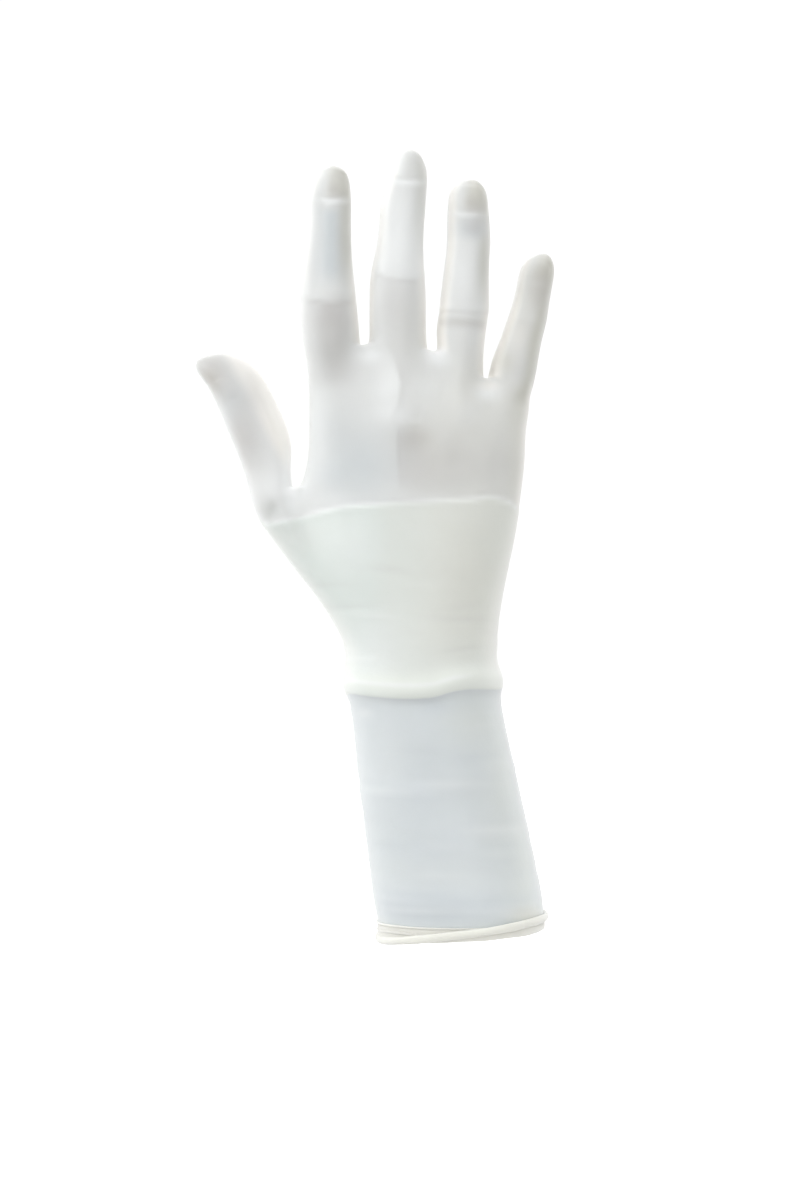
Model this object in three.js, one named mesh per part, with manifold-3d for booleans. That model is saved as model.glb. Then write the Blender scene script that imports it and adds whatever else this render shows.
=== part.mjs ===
// A surgical glove for the right hand, in the form it has when it is worn: one thin dipped
// rubber film from the fingertips to the forearm, and the rolled bead that ends its cuff.
// Millimetres. +Z runs from the cuff's mouth up to the fingertips, -Y is the back of the hand,
// and +X is the little finger's side. The origin is the middle of the cuff's mouth.
import * as THREE from "three";
import Module from "manifold-3d";

// Driving dimensions.
const WALL = 1.0; // the film's wall
const BEAD_GAP = 0.45; // between the bead and the film that it is rolled from
const SQUARENESS = 2.3; // exponent of the forearm's and the palm's sections, 2 being an ellipse
const DIGIT_CORNER = 0.73; // how far a digit's section reaches into its corners, 0.707 being an ellipse

// Turns rows of numbers into objects with the named columns.
const table = (columns, rows) =>
  rows.map((row) => Object.fromEntries(columns.map((name, i) => [name, row[i]])));

// A digit's sections from its root to just below its tip. Left and right are where the outline
// runs, seen from the back of the hand. depth is the section's size from back to palm, and y is
// how far its middle lies towards the palm.
const SECTION = ["leftX", "leftZ", "rightX", "rightZ", "depth", "y"];
const DIGITS = {
  thumb: {
    tip: [-96.5, 15, 220.8],
    sections: table(SECTION, [
      [-78.5, 162.5, -63.5, 170, 20, 8],
      [-81.5, 172.5, -64, 177.5, 21, 10],
      [-84, 179.5, -63.5, 185, 21.5, 11.5],
      [-87.5, 189, -65, 194, 22, 12.5],
      [-91, 197.5, -68.5, 202.5, 21.5, 13.5],
      [-95, 205, -74, 211, 20, 14],
      [-98, 210, -80, 216.5, 17, 14.5],
      [-102, 217, -87.5, 220.5, 10.5, 15],
    ]),
  },
  index: {
    tip: [-48.5, 4, 291.5],
    sections: table(SECTION, [
      [-60, 224, -38, 223, 19.5, 0],
      [-61, 231.5, -39, 230.5, 19.5, 0],
      [-61, 241, -40, 241, 19.5, 0.5],
      [-59.5, 255.5, -41.5, 255.5, 17, 1],
      [-58.5, 268.5, -42, 268.5, 16, 1.5],
      [-58, 278, -42, 278, 14.5, 2.5],
      [-56, 285, -42.5, 285, 12, 3],
      [-54, 289.5, -44, 289.5, 8.5, 3.5],
    ]),
  },
  middle: {
    tip: [-19.5, 3.5, 297.5],
    sections: table(SECTION, [
      [-35.5, 224, -12.5, 221, 20, 0],
      [-35, 232.5, -13.5, 232, 20, 0],
      [-35, 242.5, -13.5, 242, 20.5, 0],
      [-34.5, 250.5, -14, 250.5, 20, 0.5],
      [-32, 262.5, -14.5, 262, 17.5, 1],
      [-30, 273, -14, 272.5, 16.5, 1.5],
      [-28.5, 281, -13.5, 280.5, 15.5, 2],
      [-27, 288.5, -13.5, 287.5, 13.5, 2.5],
      [-24.5, 294.5, -15, 294, 9, 3],
    ]),
  },
  ring: {
    tip: [4.6, 4.5, 287.3],
    sections: table(SECTION, [
      [-9.5, 221.5, 8.5, 210.5, 19, 0],
      [-9.5, 229, 8.5, 222, 19, 0],
      [-8.5, 236.5, 10, 234, 19, 0.5],
      [-8, 242, 10.5, 241.5, 18.5, 0.5],
      [-6.5, 254, 10.5, 253, 17, 1.5],
      [-5.5, 264.5, 11, 264, 16, 2.5],
      [-5, 274.5, 10.5, 274, 14.5, 3.5],
      [-3.5, 281, 9.8, 281, 12.5, 4],
      [-0.5, 285, 8.2, 284.8, 9, 4.5],
    ]),
  },
  little: {
    tip: [32, 5, 259.2],
    sections: table(SECTION, [
      [10, 211.5, 27, 207.5, 17, 1],
      [11.5, 218.5, 28.5, 214.5, 17, 1],
      [15, 229, 30, 225, 16.5, 1.5],
      [18, 236, 32, 233, 16, 2],
      [20.5, 243.5, 33.5, 240.5, 14.5, 3],
      [23, 251.5, 35, 248.5, 12.5, 4],
      [26.3, 256.5, 35.2, 254.8, 9, 4.5],
    ]),
  },
};
const FINGERS = ["index", "middle", "ring", "little"];

// Sections of the palm, from the thumb's crotch up to just below the fingers' roots. back and
// palm are how far each side bulges from the hand's middle, and lean is how far the left edge
// lies towards the palm.
const HAND_SECTION = ["leftX", "leftZ", "rightX", "rightZ", "back", "palm", "lean"];
const PALM = table(HAND_SECTION, [
  [-61, 171, 23, 172, 15, 18, 6],
  [-58.5, 181, 24, 181.5, 14.5, 17, 4],
  [-58, 192.5, 24.5, 191, 14, 16.5, 2],
  [-58, 203.5, 25.5, 198.5, 13, 15.5, 1],
  [-58.5, 214.5, 26, 203.5, 11.5, 13, 0],
]);

// Sections from the cuff's mouth up to just below the thumb's crotch. The film stands out in a
// ridge round the wrist, with a short drop below it.
const ARM = table(HAND_SECTION, [
  [-29.8, -1.5, 30.2, 2, 26.5, 26.5, 0],
  [-33, 11.5, 31, 11.5, 28, 28, 0],
  [-35.5, 30, 27.5, 30, 27, 27, 0],
  [-38.5, 53, 22.5, 53, 26, 26, 0],
  [-40.5, 73, 18, 73, 24.5, 24.5, 0],
  [-42, 84.5, 15.5, 84.5, 23.5, 23.5, 0],
  [-43.5, 89, 15, 89, 23.2, 23.2, 0],
  [-44.5, 92.5, 15.5, 92.5, 24.5, 24.5, 0],
  [-44.5, 97.5, 15, 97.5, 24.3, 24.3, 0],
  [-44, 103.5, 13.5, 103.5, 22.5, 23, 0],
  [-44.5, 110, 13.5, 110, 21.5, 22, 0],
  [-48.5, 118.5, 14, 118.5, 20.5, 22, 1],
  [-55, 128.5, 15.5, 128.5, 19.5, 22, 2.5],
  [-63, 139, 17.5, 139, 18.5, 21.5, 4],
  [-69.5, 148, 19.5, 149.5, 17.5, 20.5, 5.5],
  [-74.5, 155, 21, 159, 16.5, 19.5, 7],
]);
const FADE = 3; // how fast the roots' own form fades out below them
const WRIST_Z = 110; // below this the thumb no longer shapes the sections

// Swellings and hollows of the hand under the film. side is -1 on the back and 1 on the palm.
const SWELLINGS = table(
  ["x", "z", "side", "height", "spreadX", "spreadZ"],
  [
    [-50, 146, 1, 5.5, 17, 19], // ball of the thumb
    [6, 142, 1, 3, 13, 24], // heel of the hand
    [-18, 170, 1, -3, 16, 22], // hollow of the palm
    [-44, 202, -1, 1.3, 8, 9], // knuckles, from the index finger's on
    [-20, 204, -1, 1.5, 8, 8],
    [0, 198, -1, 1.2, 7, 8],
    [15, 190, -1, 0.8, 6, 8],
    [-18.5, 188, -1, -1.2, 6, 8], // dimple under the middle knuckle
  ],
);

// How the bead's two rings lie round the cuff: how far above the mouth each one's middle is, and
// how much higher it is on the little finger's side.
const BEAD = table(
  ["z", "rise", "height", "thickness"],
  [
    [2.9, 0.9, 4.8, 1.1], // the flat hem, nearly level
    [2.9, 4, 3.1, 2], // the roll, which crosses over the hem on the back and on the palm's side
  ],
);
const BEAD_STEPS = 72;
const BEAD_SIDES = 6;

const lerp = THREE.MathUtils.lerp;
const edgeName = (a, b) => Math.min(a, b) + "_" + Math.max(a, b);
const meanOf = (points) =>
  points.reduce((sum, p) => sum.add(p), new THREE.Vector3()).divideScalar(points.length);
const superellipse = (u) => (1 - Math.min(1, Math.abs(u)) ** SQUARENESS) ** (1 / SQUARENESS);

// A net of four-sided faces, and the surface that it becomes when it is rounded off.
class Net {
  constructor(points = [], faces = []) {
    this.points = points;
    this.faces = faces;
  }

  add(point) {
    return this.points.push(point) - 1;
  }

  // Faces between two loops of the same count, the second one above the first.
  bridge(lower, upper) {
    lower.forEach((a, i) => {
      const next = (i + 1) % lower.length;
      this.faces.push([a, lower[next], upper[next], upper[i]]);
    });
  }

  // Each edge with its faces, and each point's edges and faces.
  links() {
    const edges = new Map();
    const at = this.points.map(() => ({ edges: [], faces: [] }));
    this.faces.forEach((face, f) =>
      face.forEach((a, i) => {
        const b = face[(i + 1) % face.length];
        const name = edgeName(a, b);
        if (!edges.has(name)) {
          const edge = { ends: [a, b], faces: [] };
          edges.set(name, edge);
          at[a].edges.push(edge);
          at[b].edges.push(edge);
        }
        edges.get(name).faces.push(f);
        at[a].faces.push(f);
      }),
    );
    return { edges, at };
  }

  // Where each point comes to lie on the rounded surface.
  limit(links = this.links()) {
    return this.points.map((point, p) => {
      const { edges, faces } = links.at[p];
      const rim = edges.filter((edge) => edge.faces.length === 1);
      const sum = new THREE.Vector3();
      const far = (edge) => this.points[edge.ends[0] === p ? edge.ends[1] : edge.ends[0]];
      if (rim.length) {
        rim.forEach((edge) => sum.add(far(edge)));
        return sum.addScaledVector(point, 4).divideScalar(6);
      }
      const n = edges.length;
      edges.forEach((edge) => sum.addScaledVector(far(edge), 4));
      faces.forEach((f) => {
        const face = this.faces[f];
        sum.add(this.points[face[(face.indexOf(p) + 2) % 4]]);
      });
      return sum.addScaledVector(point, n * n).divideScalar(n * (n + 5));
    });
  }

  // The net whose rounded surface passes through this net's points.
  through() {
    const FITS = 16;
    const links = this.links();
    const net = new Net(this.points.map((p) => p.clone()), this.faces);
    for (let fit = 0; fit < FITS; fit++) {
      const reached = net.limit(links);
      net.points.forEach((p, i) => p.add(this.points[i]).sub(reached[i]));
    }
    return net;
  }

  // One step of Catmull and Clark's rounding. The net's own points keep their numbers, and
  // halves has the new point on each of its edges.
  rounded() {
    const { edges, at } = this.links();
    const finer = new Net();
    const faceMiddles = this.faces.map((face) => meanOf(face.map((p) => this.points[p])));
    this.points.forEach((point, p) => {
      const rim = at[p].edges.filter((edge) => edge.faces.length === 1);
      const halves = (rim.length ? rim : at[p].edges).map((edge) =>
        meanOf(edge.ends.map((end) => this.points[end])),
      );
      const n = halves.length;
      const moved = meanOf(halves);
      if (rim.length) moved.add(point).divideScalar(2);
      else {
        moved.multiplyScalar(2).add(meanOf(at[p].faces.map((f) => faceMiddles[f])));
        moved.addScaledVector(point, n - 3).divideScalar(n);
      }
      finer.add(moved);
    });
    finer.halves = new Map();
    for (const [name, edge] of edges) {
      const ends = edge.ends.map((end) => this.points[end]);
      const sides = edge.faces.length === 2 ? edge.faces.map((f) => faceMiddles[f]) : [];
      finer.halves.set(name, finer.add(meanOf([...ends, ...sides])));
    }
    this.faces.forEach((face, f) => {
      const centre = finer.add(faceMiddles[f]);
      const halves = face.map((a, i) => finer.halves.get(edgeName(a, face[(i + 1) % 4])));
      face.forEach((a, i) => finer.faces.push([a, halves[i], centre, halves[(i + 3) % 4]]));
    });
    return finer;
  }

  // The outward direction at each point, the mean of its faces' own.
  normals() {
    const sums = this.points.map(() => new THREE.Vector3());
    const across = new THREE.Vector3();
    for (const [a, b, c, d] of this.faces) {
      const [pa, pb, pc, pd] = [a, b, c, d].map((p) => this.points[p]);
      across.subVectors(pc, pa).cross(new THREE.Vector3().subVectors(pd, pb)).normalize();
      [a, b, c, d].forEach((p) => sums[p].add(across));
    }
    return sums.map((sum) => sum.normalize());
  }

  // Each face as two triangles that meet in the line from its first point.
  triangles() {
    return this.faces.flatMap(([a, b, c, d]) => [[a, b, c], [a, c, d]]);
  }
}

// The eight points of a digit's section: the front from left to right, the right side, the
// palm's side from right to left, and the left side.
function sectionPoints({ leftX, leftZ, rightX, rightZ, depth, y }) {
  const k = DIGIT_CORNER;
  const around = [[-k, -k], [0, -1], [k, -k], [1, 0], [k, k], [0, 1], [-k, k], [-1, 0]];
  return around.map(
    ([across, deep]) =>
      new THREE.Vector3(
        lerp(leftX, rightX, (1 + across) / 2),
        y + (deep * depth) / 2,
        lerp(leftZ, rightZ, (1 + across) / 2),
      ),
  );
}

// How far the hand's swellings move a point of its back or palm.
function swelling(x, z, side) {
  return SWELLINGS.filter((s) => s.side === side).reduce(
    (sum, s) =>
      sum +
      side * s.height * Math.exp(-(((x - s.x) / s.spreadX) ** 2) - ((z - s.z) / s.spreadZ) ** 2),
    0,
  );
}

// A point of a hand section: u runs from -1 at its left side to 1 at its right, and side is -1
// on the back, 1 on the palm and 0 on the outline.
function handPoint(section, u, side) {
  const x = lerp(section.leftX, section.rightX, (1 + u) / 2);
  const z = lerp(section.leftZ, section.rightZ, (1 + u) / 2);
  const middle = section.lean * ((1 - u) / 2) ** 2;
  const bulge = side * (side < 0 ? section.back : section.palm) + swelling(x, z, side);
  return new THREE.Vector3(x, middle + bulge * superellipse(u), z);
}

// Where a point stands between the two ends of a section, from -1 to 1.
const shareAcross = ({ leftX, rightX }, point) =>
  (2 * point.x - leftX - rightX) / (rightX - leftX);

// How far a loop's points are from the plain section through its ends.
const departures = (section, points, sides) =>
  points.map((p, i) => p.clone().sub(handPoint(section, shareAcross(section, p), sides[i])));

// Loops of a section that changes from one end's form to plain sections. Each loop takes a
// share of the end's departure from a plain section, so that the form fades out.
function fadingLoops(net, sections, end, shares, plainShares) {
  const across = end.points.map((p) => shareAcross(end.section, p));
  const apart = departures(end.section, end.points, end.sides);
  return sections.map((section, row) =>
    end.points.map((_, i) => {
      const u = lerp(plainShares ? plainShares[i] : across[i], across[i], shares[row]);
      const point = handPoint(section, u, end.sides[i]);
      return net.add(point.addScaledVector(apart[i], shares[row] ** FADE));
    }),
  );
}

// Grows a digit from its root loop to its tip.
function growDigit(net, root, digit) {
  let loop = root;
  for (const section of digit.sections.slice(1)) {
    const next = sectionPoints(section).map((p) => net.add(p));
    net.bridge(loop, next);
    loop = next;
  }
  const tip = net.add(new THREE.Vector3(...digit.tip));
  for (const corner of [0, 2, 4, 6])
    net.faces.push([loop[(corner + 7) % 8], loop[corner], loop[corner + 1], tip]);
}

// The web between two neighbouring roots: front, middle and palm edges, left and right.
function growWeb(net, left, right) {
  net.faces.push([left[2], right[0], right[7], left[3]]);
  net.faces.push([left[3], right[7], right[6], left[4]]);
}

// The whole outer surface of the film as a net, open at the mouth.
function gloveNet() {
  const net = new Net();
  const roots = Object.fromEntries(
    Object.entries(DIGITS).map(([name, { sections }]) => [
      name,
      sectionPoints(sections[0]).map((p) => net.add(p)),
    ]),
  );
  const fingers = FINGERS.map((name) => roots[name]);

  // The loop through the fingers' roots: back from left to right, right side, palm, left side.
  const knuckleLoop = [
    ...fingers.flatMap((root) => root.slice(0, 3)),
    fingers[3][3],
    ...fingers.toReversed().flatMap((root) => root.slice(4, 7)),
    fingers[0][7],
  ];
  const knuckleSides = [...Array(12).fill(-1), 0, ...Array(12).fill(1), 0];
  const knucklePoints = knuckleLoop.map((p) => net.points[p]);
  const [first, last] = [knucklePoints[25], knucklePoints[12]];
  const knuckles = {
    section: { ...PALM.at(-1), leftX: first.x, leftZ: first.z, rightX: last.x, rightZ: last.z },
    points: knucklePoints,
    sides: knuckleSides,
  };
  const palmShares = PALM.map((_, row) => row / PALM.length);
  const palmLoops = fadingLoops(net, PALM, knuckles, palmShares);
  [...palmLoops, knuckleLoop].forEach((loop, row, loops) => row && net.bridge(loops[row - 1], loop));

  // The loop round the thumb's root and the palm together.
  const thumb = roots.thumb;
  const palm = palmLoops[0];
  const crotchLoop = [...thumb.slice(0, 3), ...palm.slice(0, 25), ...thumb.slice(4, 8)];
  const crotchSides = [...Array(15).fill(-1), 0, ...Array(15).fill(1), 0];
  const base = DIGITS.thumb.sections[0];
  const crotch = {
    section: { ...PALM[0], leftX: base.leftX, leftZ: base.leftZ },
    points: crotchLoop.map((p) => net.points[p]),
    sides: crotchSides,
  };
  const evenShares = crotchLoop.map((_, i) => -Math.cos(((i + 1) * 2 * Math.PI) / crotchLoop.length));
  const nearness = ARM.map(({ leftZ }) =>
    THREE.MathUtils.smoothstep(leftZ, WRIST_Z, crotch.section.leftZ),
  );
  const armLoops = fadingLoops(net, ARM, crotch, nearness, evenShares);
  [...armLoops, crotchLoop].forEach((loop, row, loops) => row && net.bridge(loops[row - 1], loop));

  growWeb(net, thumb, [palm[0], 0, 0, 0, 0, 0, palm[24], palm[25]]);
  fingers.forEach((root, i) => i && growWeb(net, fingers[i - 1], root));
  for (const name of Object.keys(DIGITS)) growDigit(net, roots[name], DIGITS[name]);
  return { net, mouth: armLoops[0] };
}

function geometryOf(points, triangles) {
  return new THREE.BufferGeometry()
    .setAttribute(
      "position",
      new THREE.Float32BufferAttribute(points.flatMap((p) => p.toArray()), 3),
    )
    .setIndex(triangles.flat());
}

// The inner surface of the film: the outer surface's net, one wall further in. It has larger
// faces than the outer surface, so it is pressed in further wherever a face would come too near.
function innerNet(net, outer) {
  const PRESSES = 12;
  const normals = outer.normals();
  const inner = new Net(
    net.points.map((_, p) => outer.points[p].clone().addScaledVector(normals[p], -WALL)),
    net.faces,
  );
  const middles = [
    ...[...net.links().edges].map(([name, { ends }]) => [outer.halves.get(name), ends]),
    ...net.faces.map((face, f) => [outer.faces[4 * f][2], face]),
  ];
  for (let press = 0; press < PRESSES; press++)
    for (const [p, around] of middles) {
      const middle = meanOf(around.map((q) => inner.points[q]));
      const wall = outer.points[p].clone().sub(middle).dot(normals[p]);
      if (wall < WALL)
        around.forEach((q) => inner.points[q].addScaledVector(normals[p], wall - WALL));
    }
  return inner;
}

// The film: the rounded outer surface, the inner surface, and the rim that joins them at the
// mouth.
function filmGeometry() {
  const { net, mouth } = gloveNet();
  const outer = net.through().rounded();
  outer.points = outer.limit();
  const inner = innerNet(net, outer);
  mouth.forEach((p) => inner.points[p].setZ(outer.points[p].z));

  const offset = outer.points.length;
  const turned = inner.triangles().map(([a, b, c]) => [a + offset, c + offset, b + offset]);
  const rim = mouth.flatMap((a, i) => {
    const b = mouth[(i + 1) % mouth.length];
    const half = outer.halves.get(edgeName(a, b));
    return [
      [a, a + offset, half],
      [half, a + offset, b + offset],
      [half, b + offset, b],
    ];
  });
  return geometryOf([...outer.points, ...inner.points], [...outer.triangles(), ...turned, ...rim]);
}

// A point of the film's outer surface near the cuff's mouth, and the level direction out of it.
// turn runs from 0 at the little finger's side, over the back.
function cuffPoint(turn, z) {
  const at = (angle) => {
    const [low, high] = ARM.map((section) =>
      handPoint(section, Math.cos(angle), Math.sin(angle) > 0 ? -1 : 1),
    );
    return low.lerp(high, (z - low.z) / (high.z - low.z));
  };
  const STEP = 1e-3;
  const along = at(turn + STEP).sub(at(turn - STEP));
  const out = new THREE.Vector3(0, 0, 1).cross(along).normalize();
  return { point: at(turn), out };
}

// A closed tube whose middle line is given for each step of a turn.
function ringGeometry(middleLine, { height, thickness }) {
  const points = [];
  const triangles = [];
  for (let step = 0; step < BEAD_STEPS; step++) {
    const { point, out } = middleLine((step / BEAD_STEPS) * 2 * Math.PI);
    for (let side = 0; side < BEAD_SIDES; side++) {
      const angle = (side / BEAD_SIDES) * 2 * Math.PI;
      const corner = point.clone().addScaledVector(out, (Math.cos(angle) * thickness) / 2);
      points.push(corner.setZ(point.z + (Math.sin(angle) * height) / 2));
      const next = (step + 1) % BEAD_STEPS;
      const [a, b] = [step, next].map((s) => s * BEAD_SIDES + side);
      const [c, d] = [step, next].map((s) => s * BEAD_SIDES + ((side + 1) % BEAD_SIDES));
      triangles.push([a, d, b], [a, c, d]);
    }
  }
  return geometryOf(points, triangles);
}

// The rolled bead: a flat hem and a roll that runs round the cuff beside it and climbs over it
// twice.
async function beadGeometry() {
  const wasm = await Module();
  wasm.setup();
  const [hem, roll] = BEAD;
  const level = (ring, turn) => ring.z + ring.rise * Math.cos(turn);
  const OVERLAY = 0.8; // how much of the hem's thickness the roll is lifted by where they cross
  const REACH = (OVERLAY * (hem.height + roll.height)) / 2;
  const middleLine = (ring) => (turn) => {
    const z = level(ring, turn);
    const { point, out } = cuffPoint(turn, z);
    const apart = (z - level(hem, turn)) / REACH;
    const lift = ring === roll ? Math.sqrt(Math.max(0, 1 - apart ** 2)) : 0;
    const distance = BEAD_GAP + ring.thickness / 2 + lift * OVERLAY * hem.thickness;
    point.setZ(z).addScaledVector(out, distance);
    return { point, out };
  };
  const [a, b] = [hem, roll].map((ring) => {
    const geometry = ringGeometry(middleLine(ring), ring);
    return new wasm.Manifold(
      new wasm.Mesh({
        numProp: 3,
        vertProperties: geometry.attributes.position.array,
        triVerts: new Uint32Array(geometry.index.array),
      }),
    );
  });
  const { vertProperties, triVerts, numProp } = a.add(b).getMesh();
  const count = vertProperties.length / numProp;
  const points = Array.from({ length: count }, (_, i) =>
    new THREE.Vector3().fromArray(vertProperties, i * numProp),
  );
  return new THREE.BufferGeometry()
    .setAttribute("position", new THREE.Float32BufferAttribute(points.flatMap((p) => p.toArray()), 3))
    .setIndex([...triVerts]);
}

function piece(name, geometry, color, roughness) {
  const material = new THREE.MeshStandardMaterial({ color, roughness, metalness: 0 });
  const mesh = new THREE.Mesh(geometry, material);
  mesh.name = name;
  return mesh;
}

const glove = new THREE.Group();
glove.add(piece("glove_film", filmGeometry(), 0xdfe1dd, 0.45));
glove.add(piece("cuff_bead", await beadGeometry(), 0xeeebd8, 0.4));
export default glove;
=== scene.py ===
"""The looks of a surgical glove in its worn form: a thin white rubber film with the relief that a
hand and a knitted cuff give it, and a rolled bead at its mouth.

X runs to the little finger's side, -Y is the back of the hand, and Z runs from the cuff's mouth up
to the fingertips. The tables are in millimetres, and the lights and the camera in metres."""

import math

import bmesh
import bpy
import numpy as np
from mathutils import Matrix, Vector


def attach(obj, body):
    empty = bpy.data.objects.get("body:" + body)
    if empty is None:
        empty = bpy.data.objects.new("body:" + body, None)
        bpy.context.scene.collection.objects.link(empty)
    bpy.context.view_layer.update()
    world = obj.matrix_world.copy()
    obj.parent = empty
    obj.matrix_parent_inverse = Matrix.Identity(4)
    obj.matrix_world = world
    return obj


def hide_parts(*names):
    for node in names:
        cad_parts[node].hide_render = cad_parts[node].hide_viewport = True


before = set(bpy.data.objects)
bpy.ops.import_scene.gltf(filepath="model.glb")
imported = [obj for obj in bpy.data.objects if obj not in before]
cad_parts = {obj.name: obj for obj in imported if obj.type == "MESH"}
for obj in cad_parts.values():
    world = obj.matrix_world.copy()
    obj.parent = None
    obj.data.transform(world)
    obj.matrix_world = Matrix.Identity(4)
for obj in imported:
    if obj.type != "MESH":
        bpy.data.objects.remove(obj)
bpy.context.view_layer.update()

MM = 0.001
FILM = 0.45  # thickness of the film that shows, in mm
# Rounds of subdivision of the film's outside and inside. The seam at the mouth needs one round more
# outside than inside.
OUTER_LEVELS, INNER_LEVELS = 2, 1

# Each digit's axis in the XZ plane, from its root to its tip, and the heights along Z of its
# middle joint and of its nail's cuticle. half is half the nail's width, and step and fold say how
# plainly the joint and the cuticle show. left says how far round the painted light at a finger's
# root reaches on its left side.
DIGITS = {
    "index": dict(
        root=(-49, 223), tip=(-49, 291), joint=239.4, cuticle=278.6, half=5.2, step=0.8, fold=1.0
    ),
    "middle": dict(
        root=(-24, 222), tip=(-20, 297), joint=248.0, cuticle=285.6, half=5.0, step=1.0, fold=0.9,
        left=0.05,
    ),
    "ring": dict(
        root=(0, 216), tip=(3.6, 287), joint=232.6, cuticle=273.5, half=5.2, step=0.35, fold=0.7,
        left=0.32,
    ),
    "little": dict(
        root=(18.5, 210), tip=(31.5, 259), joint=233.5, cuticle=248.6, half=4.0, step=0.15, fold=0.25,
        left=0.45,
    ),
    "thumb": dict(root=(-70, 166), tip=(-99, 219), cuticle=206.0, half=5.6, fold=0.0),
}
# How much of each tint shows above the cuticle (tip), between the cuticle and the joint (middle),
# below the joint (low, partly painted shade under the joint's step), and on the digit's right side
# (side, painted shade).
DIGIT_TINTS = {
    "index": dict(tip=0.75, middle=0.80, low=1.00, side=0.65),
    "middle": dict(tip=0.14, middle=0.0, low=0.75, side=0.42),
    "ring": dict(tip=0.92, middle=0.0, low=0.08, side=0.65),
    "little": dict(tip=0.85, middle=0.0, low=0.30, side=0.80),
}

# Where one finger ends and the next begins, along X. Above LEAN_FROM the line between the ring and
# the little finger leans right.
SPLITS = (-200, -37, -11.2, 9.6, 200)
LEAN, LEAN_FROM = 0.18, 210
ROOTS = (205, 212)  # the heights between which the fingers begin
ROOTS_FALL = 0.28  # how fast these fall towards the little finger's side
THUMB_X = -63  # the thumb lies left of this, and the fingers right of it

# Patches of tint on the back of the hand and of the digits: tones where the film is stretched over a
# bone or bridges a hollow, painted shade in the dimples and on the fingers' right sides, and painted
# highlights at the webs, on the knuckle, along the hand's left edge and in the thumb's crotch.
# (tint, x, z, spread in x, spread in z, share)
PATCHES = [
    # the dimple under the middle knuckle, dark with painted shade
    ("dark_and_shade", -17.6, 186.3, 6.0, 6.2, 0.90),
    ("cool_shade", -17.6, 179.5, 5.0, 5.0, 0.45),
    ("cool_shade", -9.0, 171.0, 12.0, 5.0, 0.30),
    ("shade", -15.0, 178.0, 8.0, 9.0, 0.80),
    ("shade", -4.0, 178.0, 17.0, 9.0, 0.55),
    ("shade", -3.6, 181.5, 6.0, 4.5, 0.35),
    ("shade", 15.0, 178.0, 5.0, 7.0, 0.12),
    ("shade", -14.0, 171.5, 12.0, 5.0, 0.25),
    ("olive", -8.0, 192.0, 17.0, 30.0, 0.28),
    ("shade", -45.0, 262.0, 3.0, 34.0, 0.22),
    ("olive", -20.0, 230.0, 8.0, 12.0, 0.15),
    ("olive", 4.0, 212.0, 6.0, 9.0, 0.30),
    ("deep", -48.0, 219.5, 6.5, 12.0, 0.55),
    ("deep", -48.0, 232.0, 7.0, 5.0, 0.15),
    ("shade", -47.0, 240.5, 6.0, 3.0, 0.30),
    ("blue", -38.0, 177.0, 14.0, 14.0, 0.62),
    ("blue", -49.0, 190.0, 8.0, 12.0, 0.25),
    ("blue", -50.0, 174.0, 6.0, 6.0, 0.35),
    ("pale_and_highlight", -55.5, 268.0, 3.0, 24.0, 0.55),
    ("pale_and_highlight", -26.5, 276.0, 4.0, 9.0, 0.55),
    # painted highlights at the webs, on the knuckle and along the hand's left edge
    ("pale_and_highlight", -34.5, 219.0, 4.4, 3.0, 0.75),
    ("pale_and_highlight", -9.0, 218.0, 4.6, 3.0, 0.7),
    ("pale_and_highlight", 9.5, 205.4, 5.0, 3.6, 0.75),
    ("pale_and_highlight", -25.5, 196.5, 7.0, 4.5, 0.6),
    ("pale_and_highlight", -55.0, 188.0, 5.0, 18.0, 0.5),
    ("pale_and_highlight", -50.0, 165.0, 10.0, 3.0, 0.2),
    # the thumb's root: painted shade in its dimple, and painted light in its crotch
    ("cool_shade", -71.8, 161.3, 4.2, 3.8, 0.45),
    ("shade", -65.2, 153.0, 6.5, 4.0, 0.4),
    ("pale_and_highlight", -62.0, 172.0, 4.5, 9.0, 0.7),
    ("pale_and_highlight", -65.0, 164.0, 3.5, 4.0, 0.7),
    ("pale_and_highlight", -73.5, 171.0, 5.0, 5.0, 0.4),
    # painted highlights at the webs
    ("painted_light", 10.0, 208.0, 4.0, 2.2, 0.5),
    ("white", -10.0, 220.5, 3.5, 2.2, 0.8),
    ("blue", 4.2, 267.6, 5.0, 3.6, 1.0),
    ("shade", 4.6, 268.0, 4.8, 4.0, 0.7),
    ("shade", 7.0, 274.0, 4.0, 5.0, 0.4),
    ("pale_and_highlight", 1.0, 250.0, 4.0, 10.0, 0.4),
    ("pale_and_highlight", -22.0, 261.0, 9.0, 17.0, 0.75),
    ("pale_and_highlight", -14.0, 207.0, 7.0, 7.0, 0.35),
    ("pale_and_highlight", 3.0, 198.0, 6.0, 6.0, 0.3),
    # the little finger: painted shade on its right side, and painted light at its left
    ("shade", 28.5, 243.0, 5.0, 7.0, 0.6),
    ("shade", 20.5, 213.5, 4.0, 4.0, 0.3),
    ("olive", 16.5, 217.0, 3.5, 5.0, 0.6),
    ("painted_light", 21.0, 227.0, 4.0, 6.0, 0.35),
    ("dark_and_shade", 30.5, 244.0, 4.5, 8.0, 0.60),
    ("olive", 25.0, 236.0, 9.0, 24.0, 0.35),
    ("dark_and_shade", -96.5, 210.5, 6.0, 7.0, 0.85),
    ("blue", -86.0, 200.0, 6.0, 10.0, 0.5),
    ("shade", -83.0, 189.0, 8.0, 18.0, 0.95),
]
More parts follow.
